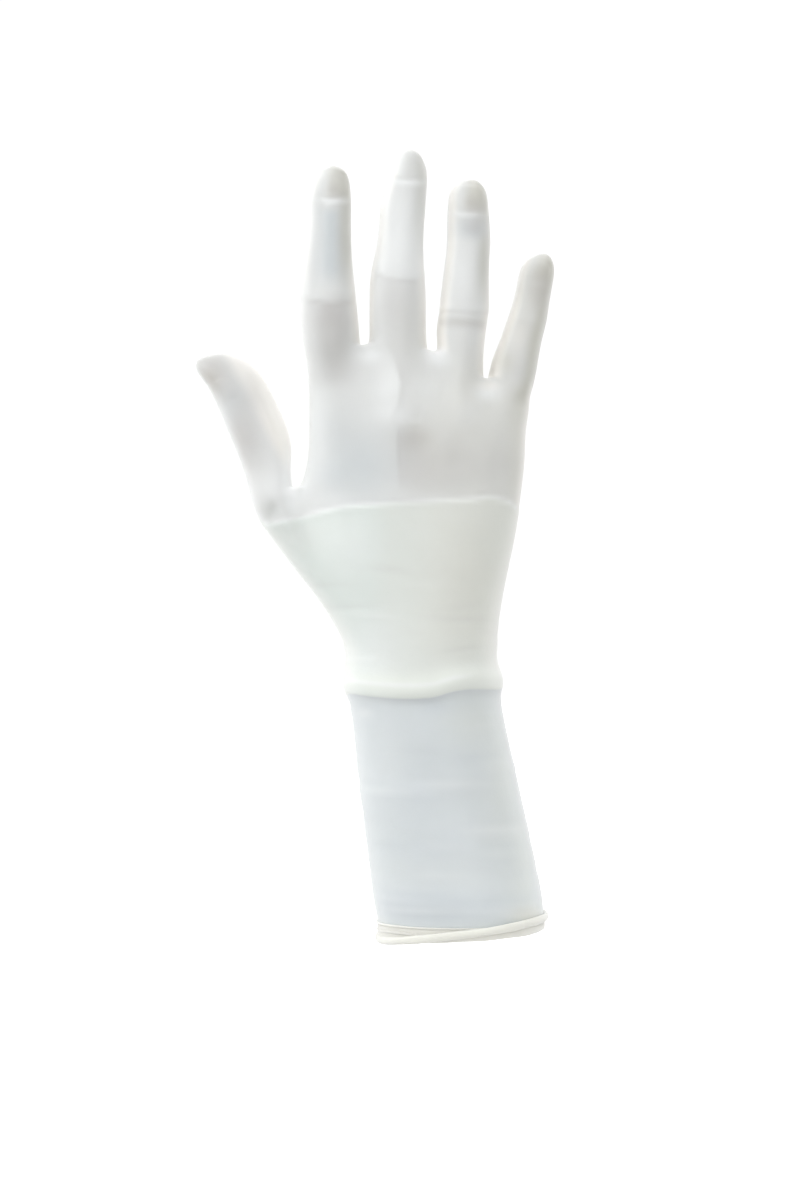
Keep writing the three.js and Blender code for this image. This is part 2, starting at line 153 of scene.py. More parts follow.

# Patches of tint on the cuff, over the sleeve: tones of the film, painted shade just below the wrist's ridge,
# darker just above the bead, and a painted highlight on a crease below the ridge.
SLEEVE_PATCHES = [
    ("sleeve_blue", -18.0, 80.0, 16.0, 7.0, 0.15),
    ("sleeve_blue", -20.0, 52.0, 10.0, 14.0, 0.30),
    ("sleeve_blue", -12.0, 34.0, 12.0, 5.0, 0.35),
    ("sleeve_blue", -3.0, 40.0, 8.0, 5.0, 0.40),
    ("sleeve_blue", -16.0, 57.0, 8.0, 4.0, 0.40),
    ("sleeve_blue", -12.0, 13.0, 24.0, 6.0, 1.00),
    ("sleeve_shade", -10.0, 12.5, 22.0, 5.0, 0.90),
    ("sleeve_shade", -10.0, 52.0, 13.0, 24.0, 0.20),
    ("sleeve_blue", -9.0, 87.0, 6.0, 3.0, 0.50),
    ("sleeve_shade", -9.0, 87.5, 5.0, 2.5, 0.30),
    ("pale_and_highlight", -36.5, 84.5, 3.0, 2.0, 0.25),
    ("pale_and_highlight", -27.0, 66.0, 8.0, 22.0, 0.14),
    ("sleeve_shade", 18.0, 47.0, 4.0, 12.0, 0.35),
    ("sleeve_green", 5.0, 82.0, 12.0, 10.0, 0.80),
    ("sleeve_green", 16.0, 62.0, 7.0, 26.0, 0.80),
    ("sleeve_green", 24.0, 30.0, 6.0, 30.0, 0.80),
    ("olive", 25.0, 9.5, 8.0, 3.0, 0.60),
]

# The sleeve's knitted cuff under the film: its upper and lower edges on the back of the hand.
BAND_TOP = [
    (-75, 156.0),
    (-64, 157.6),
    (-46, 162.2),
    (-23, 163.7),
    (2, 164.8),
    (11, 166.2),
    (19, 163.8),
    (24, 158.0),
]
BAND_FOOT = [
    (-44, 92.3),
    (-36, 91.3),
    (-26, 90.5),
    (-18, 90.4),
    (-10.5, 90.9),
    (-4.5, 93.0),
    (2.5, 94.0),
    (15, 93.3),
]
PALM_TOP, PALM_FOOT = 160, 93  # about how high the same edges lie on the palm's side
KNIT = 0.5  # how far the knitted cuff lifts the film, in mm

# The ridge round the wrist is level in the solids. Here it follows BAND_FOOT on the back of the hand
# and stands PALM_LIFT higher on the palm's side.
FOOT_LEVEL, PALM_LIFT = 91.0, 2
RIDGE_LEVEL, RIDGE_REACH = 92, 9

# The middle of the arm, from the mouth up, and its radius.
ARM_MIDDLE = [(0, 0), (-15, 100)]
ARM_RADIUS = 26
TILT = 0.12  # the steepest slope of a fold round the arm

# Folds of the film over the arm, and round the wrist: how many the seed places, between which heights
# along Z, how far they sink in or stand out, and how long and how wide they are.
BROAD_FOLDS = dict(
    seed=7, count=60, z_range=(10, 70), heights=(-0.40, 0.34), lengths=(7, 20), widths=(0.9, 2.4)
)
SHORT_FOLDS = dict(
    seed=5, count=16, z_range=(64, 86), heights=(-0.30, 0.25), lengths=(4, 10), widths=(0.8, 1.6)
)
WRIST_FOLDS = dict(
    seed=11, count=22, z_range=(104, 138), heights=(-0.22, 0.2), lengths=(6, 14), widths=(0.9, 1.6)
)

# Soft dents and swellings on the back of the hand.
# (x, z, height, spread in x, spread in z)
HOLLOWS = [
    (-18.2, 184.0, -0.60, 4.6, 8.5),
    (-2.0, 183.0, -0.40, 4.5, 5.5),
    (15.5, 178.0, -0.45, 3.5, 6.0),
    (-42.0, 178.0, -0.30, 4.0, 5.0),
    (-72.0, 161.3, -0.80, 2.4, 2.6),
    (-65.0, 152.5, -0.45, 4.5, 3.2),
    (-46.0, 216.0, -0.35, 5.0, 8.0),
    (-34.5, 222.0, 0.35, 2.6, 3.0),
    (-7.5, 220.5, 0.45, 2.8, 3.0),
    (13.0, 207.0, 0.45, 3.0, 2.8),
]

# Where the film's outline stands a little outside the solids', or inside them.
# (x, z, height, spread in x, spread in z, the way that the moved side faces, in degrees from the right)
SIDES = [
    (-56.0, 254.0, 1.9, 6.0, 13.0, 180),
    (-54.0, 278.0, 1.9, 6.0, 13.0, 180),
    (-49.0, 292.0, 1.2, 4.0, 5.0, 90),
    (-28.0, 276.5, 1.5, 6.0, 9.5, 180),
    (-19.5, 297.0, 1.3, 4.0, 5.0, 90),
    (-14.5, 291.0, 0.6, 4.0, 7.0, 0),
    (-2.5, 283.5, 1.4, 5.0, 6.0, 150),
    (-5.5, 274.0, 0.2, 4.0, 8.0, 180),
    (24.0, 254.0, 1.0, 5.0, 9.0, 160),
    (15.0, 226.0, -0.8, 5.0, 9.0, 180),
    (31.0, 228.0, 0.5, 6.0, 10.0, 0),
    (-37.0, 223.0, 0.8, 3.5, 3.5, 90),
    (-12.0, 221.0, 1.2, 3.5, 3.5, 90),
    (9.0, 212.0, 0.8, 2.5, 3.0, 90),
    (-71.0, 199.0, -2.3, 12.0, 14.0, 30),
    (-90.0, 217.0, 1.1, 12.0, 6.0, 90),
    (-64.0, 168.0, 1.0, 5.0, 4.0, 90),
    (-89.0, 194.0, 0.8, 8.0, 9.0, 205),
    (-77.0, 158.0, 0.7, 20.0, 26.0, 210),
    (24.0, 155.0, 0.5, 8.0, 16.0, 0),
]

# Creases of the palm, each a chain of points in the XZ plane.
PALM_CREASES = [
    [(-56, 187), (-44, 186), (-32, 178), (-27, 166), (-28, 150), (-33, 134), (-37, 122)],
    [(-56, 189), (-40, 188), (-22, 181), (-6, 172), (10, 163)],
    [(24, 190), (10, 189), (-6, 192), (-20, 199), (-30, 210)],
]

# The fold between the first two knuckles, and the right edge of the painted highlight on the knuckle beside
# it.
KNUCKLE_FOLD = [(-27, 196), (-23.8, 203), (-23.4, 209.8), (-26.4, 219.6), (-29, 224)]
KNUCKLE_HIGHLIGHT = [(-29.5, 194), (-25.2, 200), (-24.0, 208.5), (-26.6, 218.5), (-30, 224)]


def ramp(low, high, value):
    """0 up to low and 1 past high, with a soft change between. It falls where low is the larger."""
    t = np.clip((value - low) / (high - low), 0, 1)
    return t * t * (3 - 2 * t)


def hill(value, middle, spread):
    """1 at the middle, fading to 0 on both sides."""
    return np.exp(-(((value - middle) / spread) ** 2))


def along(chain, x, softness=2.5):
    """A chain's height at x, with its corners rounded."""
    xs, zs = zip(*chain)
    return np.mean([np.interp(x + softness * k, xs, zs) for k in (-1, -0.5, 0, 0.5, 1)], axis=0)


def rounded(chain, rounds=2):
    """The chain with its corners cut, and cut again, so that it curves."""
    points = np.array(chain, float)
    for _ in range(rounds):
        near, far = points[:-1], points[1:]
        cut = np.stack([0.75 * near + 0.25 * far, 0.25 * near + 0.75 * far], 1).reshape(-1, 2)
        points = np.vstack([points[:1], cut, points[-1:]])
    return points


def beside(chain, x, z):
    """How far right of an upright chain each point lies."""
    xs, zs = zip(*chain)
    return x - np.interp(z, zs, xs)


def steep_right(side, left_spread, right_spread):
    """1 on a crest, fading on its left and on its right over spreads of their own."""
    return np.where(side < 0, hill(side, 0, left_spread), hill(side, 0, right_spread))


def from_chain(chain, x, z):
    """Distance of each point from a chain of straight stretches."""
    best = np.full(len(x), 1e9)
    for (ax, az), (bx, bz) in zip(chain, chain[1:]):
        dx, dz = bx - ax, bz - az
        t = np.clip(((x - ax) * dx + (z - az) * dz) / (dx * dx + dz * dz), 0, 1)
        best = np.minimum(best, np.hypot(x - ax - t * dx, z - az - t * dz))
    return best


def colour(*rgb):
    """Linear colour from the usual red, green and blue of 0 to 255."""
    c = np.array(rgb, float) / 255
    return np.where(c <= 0.04045, c / 12.92, ((c + 0.055) / 1.055) ** 2.4)


# Tints of the film by place, several of them painted light and shade, and of its inside, the hem and the
# bead.
TINTS = {
    "hand": colour(220, 222, 219),
    "shade": colour(195, 194, 191),
    # a dark tone where the nails show through, and painted shade in the dimple, in the folds of the joints
    # and on the little finger's right side
    "dark_and_shade": colour(176, 173, 166),
    "deep": colour(166, 165, 161),
    # painted shade in the dimples of the back of the hand and of the thumb's root
    "cool_shade": colour(182, 186, 180),
    # painted shade on the fingers' right sides, turned from the key light
    "side": colour(184, 184, 172),
    "olive": colour(204, 203, 191),
    "blue": colour(196, 204, 206),
    # a pale tone, and painted highlights at the webs, on the knuckle, the joints, the cuticles, the cuff's
    # edge, the ridge and the crests of the folds
    "pale_and_highlight": colour(241, 244, 242),
    # painted light on edges and at the fingers' roots, as if lit from behind, and at a web
    "painted_light": colour(251, 248, 240),
    # a painted highlight, at a web and in the thumb's crotch
    "white": colour(252, 253, 252),
    # a painted highlight along the top of the wrist's ridge
    "ridge": colour(234, 240, 230),
    "cuff": colour(215, 219, 211),
    "cuff_cool": colour(212, 224, 218),
    "cuff_shade": colour(219, 220, 209),
    "sleeve": colour(204, 211, 212),
    "sleeve_blue": colour(199, 207, 212),
    "sleeve_green": colour(208, 214, 210),
    "sleeve_shade": colour(189, 197, 201),
    "inside": colour(233, 231, 223),
    "hem": colour(222, 221, 212),
    "bead": colour(223, 223, 214),
}


def outer_surface(node):
    """The node's outer surface as four-sided faces, open at the mouth: points and faces."""
    bm = bmesh.new()
    bm.from_mesh(node.data)
    bmesh.ops.remove_doubles(bm, verts=bm.verts, dist=1e-6)
    bm.normal_update()
    # the level end of the wall at the mouth, which joins the outside to the inside
    rim = [f for f in bm.faces if f.normal.z < -0.9 and f.calc_center_median().z < 3 * MM]
    bmesh.ops.delete(bm, geom=rim, context="FACES")
    left = set(bm.faces)
    shells = []
    while left:
        grown = [left.pop()]
        for face in grown:
            near = {f for e in face.edges for f in e.link_faces} & left
            left -= near
            grown.extend(near)
        shells.append(grown)
    shells.sort(key=len)
    bmesh.ops.delete(bm, geom=[f for s in shells[:-1] for f in s], context="FACES")
    # A face's diagonal joins two points that have more than four edges, and no other edge does.
    diagonals = [e for e in bm.edges if min(len(v.link_edges) for v in e.verts) > 4]
    bmesh.ops.dissolve_edges(bm, edges=diagonals, use_verts=False)
    bm.verts.index_update()
    points = np.array([v.co for v in bm.verts]) / MM
    faces = np.array([[v.index for v in f.verts] for f in bm.faces])
    bm.free()
    return points, faces


def cage_through(points, faces, fits=20):
    """The cage whose subdivision surface passes through the points."""
    pairs = np.sort(np.stack([faces, np.roll(faces, -1, 1)], 2).reshape(-1, 2), 1)
    edges, used = np.unique(pairs, axis=0, return_counts=True)
    edge_of_rim = edges[used == 1]
    rim = np.zeros(len(points), bool)
    rim[edge_of_rim] = True
    count = np.bincount(edges.ravel(), minlength=len(points))[:, None]

    def limit(trial):
        near = np.zeros_like(trial)
        np.add.at(near, edges[:, 0], trial[edges[:, 1]])
        np.add.at(near, edges[:, 1], trial[edges[:, 0]])
        across = np.zeros_like(trial)
        for k in range(4):
            np.add.at(across, faces[:, k], trial[faces[:, (k + 2) % 4]])
        on_rim = np.zeros_like(trial)
        np.add.at(on_rim, edge_of_rim[:, 0], trial[edge_of_rim[:, 1]])
        np.add.at(on_rim, edge_of_rim[:, 1], trial[edge_of_rim[:, 0]])
        inner = (count**2 * trial + 4 * near + across) / (count * (count + 5))
        return np.where(rim[:, None], (4 * trial + on_rim) / 6, inner)

    cage = points.copy()
    for _ in range(fits):
        cage += points - limit(cage)
    return cage


def subdivided(points, faces, levels):
    """Points, faces and outward directions of the subdivision surface."""
    mesh = bpy.data.meshes.new("cage")
    mesh.from_pydata(points, [], faces.tolist())
    cage = bpy.data.objects.new("cage", mesh)
    bpy.context.scene.collection.objects.link(cage)
    modifier = cage.modifiers.new("round", "SUBSURF")
    modifier.levels = levels
    fine = bpy.data.meshes.new_from_object(
        cage.evaluated_get(bpy.context.evaluated_depsgraph_get())
    )
    out = read_mesh(fine)
    bpy.data.objects.remove(cage)
    bpy.data.meshes.remove(mesh)
    bpy.data.meshes.remove(fine)
    return out


def read_mesh(mesh):
    """Points, faces and outward directions of a mesh whose faces all have four sides."""
    points = np.empty(len(mesh.vertices) * 3)
    mesh.vertices.foreach_get("co", points)
    corners = np.empty(len(mesh.loops), int)
    mesh.loops.foreach_get("vertex_index", corners)
    normals = np.empty(len(mesh.vertices) * 3)
    mesh.vertex_normals.foreach_get("vector", normals)
    return points.reshape(-1, 3), corners.reshape(-1, 4), normals.reshape(-1, 3)


def digit_place(digit, x, z):
    """Where points lie beside a digit's axis, and how high along it, both in mm."""
    (root_x, root_z), (tip_x, tip_z) = digit["root"], digit["tip"]
    length = math.hypot(tip_x - root_x, tip_z - root_z)
    dx, dz = (tip_x - root_x) / length, (tip_z - root_z) / length
    return (x - root_x) * dz - (z - root_z) * dx, (x - root_x) * dx + (z - root_z) * dz + root_z


def on_digit(name, x, z):
    """1 on a digit and 0 off it."""
    if name == "thumb":
        return ramp(THUMB_X + 1.5, THUMB_X - 0.5, x) * ramp(164, 168, z)
    place = list(DIGITS).index(name)
    lean = LEAN * np.maximum(z - LEAN_FROM, 0)
    left = SPLITS[place] + (lean if name == "little" else 0)
    right = SPLITS[place + 1] + (lean if name == "ring" else 0)
    risen = ramp(*ROOTS, z + ROOTS_FALL * np.maximum(x, 0))
    return (x > left) * (x < right) * risen * (x > THUMB_X)


def wrinkles(points, seed, count, z_range, heights, lengths, widths):
    """Short level folds round the arm, at places that the seed picks."""
    rng = np.random.default_rng(seed)
    x, y, z = points.T
    turn = np.arctan2(y, beside(ARM_MIDDLE, x, z))
    total = np.zeros(len(points))
    for _ in range(count):
        at, middle = rng.uniform(-math.pi, math.pi), rng.uniform(*z_range)
        length, width = rng.uniform(*lengths), rng.uniform(*widths)
        tilt = rng.uniform(-TILT, TILT)
        apart = ARM_RADIUS * ((turn - at + math.pi) % (2 * math.pi) - math.pi)
        total += rng.uniform(*heights) * hill(apart, 0, length) * hill(z, middle + tilt * apart, width)
    return total


def band_edges(x, back):
    """The knitted cuff's upper and lower edge at each point. Round the palm's side they level out."""
    top = along(BAND_TOP, x) * back + (PALM_TOP + 1.5 * np.sin(x / 9)) * (1 - back)
    foot = along(BAND_FOOT, x) * back + (PALM_FOOT + 0.05 * x) * (1 - back)
    return top, foot


def relief(points, normals):
    """How far the film stands out from the smooth surface at each point, in mm."""
    x, z = points[:, 0], points[:, 2]
    right = normals[:, 0]
    back = ramp(0.15, -0.45, normals[:, 1])
    palm = ramp(-0.15, 0.45, normals[:, 1])
    out = np.zeros(len(points))

    for at_x, at_z, height, spread_x, spread_z in HOLLOWS:
        out += back * height * hill(x, at_x, spread_x) * hill(z, at_z, spread_z)
    for at_x, at_z, height, spread_x, spread_z, turn in SIDES:
        angle = math.radians(turn)
        facing = right * math.cos(angle) + normals[:, 2] * math.sin(angle)
        out += height * ramp(0.2, 0.8, facing) * hill(x, at_x, spread_x) * hill(z, at_z, spread_z)
    # the dimple under the middle knuckle has a steep left edge, and small folds over it
    out -= back * 0.35 * ramp(-25.2, -23.2, x) * ramp(-12, -20, x) * ramp(170, 178, z) * ramp(195, 190, z)
    out += back * 0.14 * np.sin(z * 2.9 + 0.02 * (x + 18) ** 2) * hill(x, -18, 5) * hill(z, 194, 2.6)
    # the fold between the first two knuckles, steep on its right side
    fold = steep_right(beside(KNUCKLE_FOLD, x, z), 7, 1.3)
    out += back * 0.62 * fold * hill(z, 207, 11)

    for name, digit in DIGITS.items():
        here = on_digit(name, x, z)
        across, up = digit_place(digit, x, z)
        out += here * back * nail_relief(across, up, digit)
        if name == "thumb":
            # the crease of its joint, and a slimmer right side
            out -= here * palm * 0.4 * hill(up, 196, 1.0)
            out -= here * 1.2 * ramp(0.2, 0.9, right) * hill(z, 180, 13)
            continue
        out += here * back * digit["step"] * joint_relief(across, up, digit["joint"])
        out -= here * palm * 0.4 * finger_creases(across, up, digit)
    # the ring finger's joint has a second, finer fold
    ring_z = digit_place(DIGITS["ring"], x, z)[1]
    second_fold = 0.22 * hill(ring_z, 237.2, 1.3) - 0.2 * hill(ring_z, 235.3, 0.8)
    out += on_digit("ring", x, z) * back * second_fold

    for chain in PALM_CREASES:
        out -= palm * 0.5 * hill(from_chain(rounded(chain), x, z), 0, 1.3)

    # the knitted cuff's thickness, the roll of its upper edge, and the ridge with the drop below it
    top, foot = band_edges(x, back)
    edge_on = ramp(0.5, 0.9, np.abs(right))
    thick = KNIT * (1 - 0.6 * edge_on)
    out += thick * ramp(top + 0.9, top - 0.9, z) * ramp(foot - 0.6, foot + 0.5, z)
    out += 0.12 * hill(z, top - 0.6, 1.2) + (0.06 + 0.24 * back) * hill(z, foot + 3, 3.2)
    out -= 0.18 * (1 - edge_on) * hill(z, foot - 1.2, 1.5)

    out += cuff_folds(points)
    return out


def cuff_folds(points):
    """Folds of the loose film over the arm and round the wrist, in mm."""
    z = points[:, 2]
    arm = ramp(7, 12, z) * ramp(90, 85, z)
    wrist = ramp(99, 103, z)
    broad, short, fine = (wrinkles(points, **folds) for folds in (BROAD_FOLDS, SHORT_FOLDS, WRIST_FOLDS))
    return arm * broad + arm * short + wrist * fine


def finger_creases(across, up, digit):
    """1 in the creases of a finger's palm side, at its two joints and its root, and 0 off them."""
    joint, upper = digit["joint"], (digit["joint"] + digit["cuticle"]) / 2 + 3
    level = up - 0.03 * across**2
    return hill(level, joint, 0.9) + hill(level, upper, 0.9) + hill(up, digit["root"][1] + 4, 1.2)


def joint_relief(across, up, joint):
    """The step over a finger's middle joint: a soft ridge above and a hollow below."""
    level = up - 0.018 * across**2
    step = ramp(joint + 0.5, joint - 0.5, level) * hill(level, joint - 1, 9)
    return 0.20 * hill(level, joint + 2.8, 3.0) - 0.38 * step


def nail_shape(across, up, digit):
    """0 at the nail's middle, 1 at its outline."""
    low, high = digit["cuticle"] + 1.4, digit["tip"][1] - 2.0
    middle, tall = (low + high) / 2, (high - low) / 2
    return (np.abs(across / digit["half"]) ** 2.6 + np.abs((up - middle) / tall) ** 2.6) ** (1 / 2.6)


def nail_relief(across, up, digit):
    """The nail's plate and its outline, and the fold behind its cuticle, in mm."""
    edge = nail_shape(across, up, digit)
    plate = 0.12 * ramp(1.05, 0.75, edge) - 0.10 * hill(edge, 1.08, 0.12)
    level = up - 0.02 * across**2
    fold = 0.45 * hill(level, digit["cuticle"] - 1.0, 1.3) - 0.25 * hill(level, digit["cuticle"] + 1.0, 0.9)
    return plate + digit["fold"] * fold * hill(across, 0, digit["half"])


def lay_patches(lay, patches, x, z, where):
    """Lays the patches of a table, as far as where lets them show."""
    for name, at_x, at_z, spread_x, spread_z, share in patches:
        lay(name, share * where * hill(x, at_x, spread_x) * hill(z, at_z, spread_z))


def tint(points, normals):
    """The film's colour at each point, painted light and shade included."""
    x, z = points[:, 0], points[:, 2]
    right = normals[:, 0]
    back = ramp(0.0, -0.6, normals[:, 1])
    palm = ramp(0.0, 0.6, normals[:, 1])
    base = np.tile(TINTS["hand"], (len(points), 1))

    def lay(name, share):
        share = np.clip(share, 0, 1)[:, None]
        base[:] = base * (1 - share) + TINTS[name] * share

    # darker towards the right of the back of the hand: partly the film's olive tone, partly painted shade
    lay("olive", (0.35 * ramp(-16, 8, x) + 0.4 * ramp(14, 24, x)) * ramp(214, 202, z))
    for name in DIGITS:
        if name == "thumb":
            tint_thumb(lay, x, z, back, palm)
        else:
            tint_finger(lay, name, x, z, back, palm, right)
    tint_hand(lay, x, z, back, palm, right)
    tint_cuff(lay, x, z, back, right, cuff_folds(points))
    return base


def tint_thumb(lay, x, z, back, palm):
    """The thumb's right edge in painted light, a painted highlight at its root, and its grey upper part."""
    on = on_digit("thumb", x, z)
    across = digit_place(DIGITS["thumb"], x, z)[0]
    lay("painted_light", on * ramp(5.5, 11, across) * (1 - 0.7 * palm))
    lay("white", on * hill(x, -65, 5) * hill(z, 172, 10))
    lay("shade", 0.75 * (on * back) * hill(across, 3, 7) * ramp(196, 206, z))


def tint_finger(lay, name, x, z, back, palm, right):
    """A finger's creases, its joint, its tip, its sides and its cuticle."""
    digit, tints = DIGITS[name], DIGIT_TINTS[name]
    joint, cuticle = digit["joint"], digit["cuticle"]
    on = on_digit(name, x, z)
    here = on * back
    across, up = digit_place(digit, x, z)
    # painted shade in the creases of the palm's side
    lay("shade", 0.25 * on * palm * finger_creases(across, up, digit))

    # the blue between the cuticle and the joint, and the joint: darker below its step, partly skin tone and
    # partly painted shade, softer where the step is low, with a painted highlight above the step and a
    # line of painted shade in it
    level = up - 0.018 * across**2
    between = ramp(joint + 3, joint + 14, level) * ramp(cuticle - 1, cuticle - 7, level)
    lay("blue", tints["middle"] * here * between * hill(across, -0.5, 5.5))
    soft = 1.8 - digit["step"]
    below = ramp(joint + soft, joint - soft, level) * (0.35 + 0.65 * ramp(joint - 24, joint - 3, level))
    lay("shade", tints["low"] * here * below * hill(across, -0.5, 9.5))
    lay("pale_and_highlight", 0.12 * digit["step"] * here * hill(level, joint + 4.0, 4.2))
    lay("dark_and_shade", 0.15 * digit["step"] * here * hill(level, joint - 1.2, 1.0) * hill(across, 0, 6))

    # the tip: olive, darker on its right with painted shade and lighter on its left with painted light,
    # and darker in the middle of the nail
    above = ramp(cuticle - 1.5, cuticle + 4.5, up)
    lay("olive", tints["tip"] * here * above * (0.3 + 0.7 * ramp(-4, 3, across)))
    lay("pale_and_highlight", 0.4 * here * above * ramp(0, -4, across))
    lay("dark_and_shade", tints["tip"] * 0.6 * here * hill(up, cuticle + 3.4, 4.0) * hill(across, 1, 3.6))

    # painted shade on the right side, and painted light on the left side and on both sides at the root,
    # but for one side of the index and of the little finger
    root = ramp(joint + 22, joint, up)
    high = 1 if name == "little" else 1 - root
    lay("side", tints["side"] * on * high * ramp(0.15, 0.7, right))
    if name != "little":
        lay("painted_light", 0.5 * on * root * ramp(0.5, 1.0, right))
    if name != "index":
        lay("painted_light", on * root * ramp(0.75 - digit["left"], 1.15 - digit["left"], -right))
    edge = ramp(-0.35, -0.85, right) * (0.2 + 0.8 * ramp(-0.99, -0.92, right))
    lay("painted_light", 0.85 * on * (1 - root) * (1 - palm) * edge)

    # a painted highlight on the fold behind the cuticle
    fold = up - 0.02 * across**2
    lay("pale_and_highlight", 0.85 * digit["fold"] * here * hill(fold, cuticle - 1.0, 1.2) * hill(across, 0, digit["half"]))


def tint_hand(lay, x, z, back, palm, right):
    """The palm's creases, the knuckles, and the patches on the back of the hand and the digits."""
    # painted shade in the palm's creases
    for chain in PALM_CREASES:
        depth = 0.75 + 0.25 * np.sin(x / 6 + z / 9)
        lay("shade", 0.28 * depth * palm * hill(from_chain(rounded(chain), x, z), 0, 1.6))
    # the ring finger's joint shows as two fine lines of painted shade in its folds
    ring_z = digit_place(DIGITS["ring"], x, z)[1]
    lines = 0.12 * hill(ring_z, 235.3, 0.9) + 0.4 * hill(ring_z, 231.6, 2.2)
    lay("dark_and_shade", on_digit("ring", x, z) * back * lines)
    # painted light on the hand's right edge below the little finger
    lay("painted_light", 0.4 * ramp(0.6, 1.0, right) * ramp(14, 18, x) * ramp(214, 206, z))
    # a painted highlight on the knuckle, with a clean right edge
    knuckle_highlight = steep_right(beside(KNUCKLE_HIGHLIGHT, x, z), 9, 0.9) * hill(z, 208, 11)
    lay("pale_and_highlight", 0.65 * back * knuckle_highlight)
    lay_patches(lay, PATCHES, x, z, back)
    # left of this line the back of the hand is lighter, and right of it the dimple is darker with painted
    # shade
    line = ramp(-24.6, -23.4, x) * ramp(-10, -22, x) * ramp(166, 174, z) * ramp(192, 188, z)
    lay("shade", 0.45 * back * line)


def tint_cuff(lay, x, z, back, right, folds):
    """The knitted cuff, the ridge at its foot, the sleeve below it, and the folds over them."""
    top, foot = band_edges(x, back)
    cuff = ramp(top + 0.3, top - 0.5, z)
    lay("cuff", cuff)
    lay("cuff_cool", 0.45 * cuff * back * ramp(-25, -37, x))
    lay("pale_and_highlight", 0.50 * cuff * back * hill(x, -32, 11) * hill(z, 108, 14))
    lay("cuff_cool", 0.2 * cuff * back * ramp(-5, -25, x))
    lay("cuff_shade", 0.4 * cuff * ramp(-30, 5, x) * ramp(100, 116, z))
    lay("pale_and_highlight", 0.25 * cuff * back * hill(x, -40, 9) * hill(z, 147, 12))
    lay("shade", 0.32 * cuff * back * hill(x, -64, 12) * hill(z, 151, 7))
    lay("olive", 0.30 * cuff * back * hill(x, 1, 12) * hill(z, 136, 20))
    # painted light on the cuff's sides
    lay("painted_light", 0.25 * cuff * ramp(0.55, 1.0, np.abs(right)))
    # a painted highlight along the cuff's upper edge
    lay("pale_and_highlight", 0.4 * hill(z, top - 0.2, 1.1) * back)
    # a painted highlight along the top of the ridge, and a thin one on its crease
    ridge = 0.9 - 0.4 * ramp(-8, 10, x) - 0.4 * ramp(-30, -42, x)
    lay("ridge", ridge * hill(z, foot + 4.5, 4.5))
    lay("pale_and_highlight", 0.5 * hill(z, foot + 4.8, 0.9) * ramp(6, -4, x) * back)
    sleeve = ramp(foot + 0.4, foot - 0.5, z)
    lay("sleeve", sleeve)
    lay_patches(lay, SLEEVE_PATCHES, x, z, sleeve * back)
    # a painted shadow just below the ridge
    lay("shade", 0.1 * hill(z, foot - 1.2, 1.4) * sleeve * back)
    # painted highlights on the crests of the folds, and painted shade in their hollows
    lay("pale_and_highlight", (0.9 - 0.3 * sleeve) * np.maximum(0, folds))
    lay("shade", 0.9 * np.maximum(0, -folds) * (1 - sleeve))
    lay("sleeve_shade", 1.1 * np.maximum(0, -folds) * sleeve)


def mesh_object(name, points, faces, tints=None):
    """A smooth object from points in mm, with a colour at each point where tints are given."""
    mesh = bpy.data.meshes.new(name)
    mesh.from_pydata((np.asarray(points) * MM).tolist(), [], [list(map(int, f)) for f in faces])
    mesh.polygons.foreach_set("use_smooth", [True] * len(mesh.polygons))
    if tints is not None:
        layer = mesh.color_attributes.new("tint", "FLOAT_COLOR", "POINT")
        layer.data.foreach_set("color", np.hstack([tints, np.ones((len(tints), 1))]).ravel())
    mesh.update()
    piece = bpy.data.objects.new(name, mesh)
    bpy.context.scene.collection.objects.link(piece)
    return piece


def open_rim(faces):
    """The points of a surface's one open edge, in order round it."""
    turned = np.stack([faces, np.roll(faces, -1, 1)], 2).reshape(-1, 2)
    there = {(a, b) for a, b in turned.tolist()}
    after = {a: b for a, b in there if (b, a) not in there}
    loop = [next(iter(after))]
    while after[loop[-1]] != loop[0]:
        loop.append(after[loop[-1]])
    return loop


def with_relief(points, normals):
    """The points with their relief, and the same points before it, with the ridge in its place."""
    front = ramp(0.15, -0.45, normals[:, 1])
    lift = (along(BAND_FOOT, points[:, 0]) - FOOT_LEVEL) * front + PALM_LIFT * (1 - front)
    flat = points.copy()
    flat[:, 2] += lift * hill(points[:, 2], RIDGE_LEVEL, RIDGE_REACH)
    return flat + normals * relief(flat, normals)[:, None], flat


def make_film(node):
    """The film: its outside, and its inside with half as many points round, sewn up at the mouth."""
    points, faces = outer_surface(node)
    cage = cage_through(points, faces)
    outer, outer_faces, outer_normals = subdivided(cage, faces, OUTER_LEVELS)
    inner, inner_faces, inner_normals = subdivided(cage, faces, INNER_LEVELS)
    shown, flat = with_relief(outer, outer_normals)
    hidden = with_relief(inner, inner_normals)[0] - inner_normals * FILM
    tints = np.vstack([tint(flat, outer_normals), np.tile(TINTS["inside"], (len(hidden), 1))])
    start = len(shown)
    all_faces = outer_faces.tolist() + (inner_faces[:, ::-1] + start).tolist()
    wide, narrow = open_rim(outer_faces), [i + start for i in open_rim(inner_faces)]
    every = np.vstack([shown, hidden])
    narrow = nearest_start(every, wide[0], narrow)
    # each edge of the inside's rim meets two edges of the outside's
    for i, a in enumerate(narrow):
        b = narrow[(i + 1) % len(narrow)]
        c, d, e = (wide[(2 * i + k) % len(wide)] for k in range(3))
        all_faces += [(d, c, a), (d, a, b), (e, d, b)]
    return mesh_object("film", every, all_faces, tints)


def nearest_start(points, first, loop):
    """The loop, begun at the point nearest to first."""
    k = int(np.argmin(np.linalg.norm(points[loop] - points[first], axis=1)))
    return loop[k:] + loop[:k]


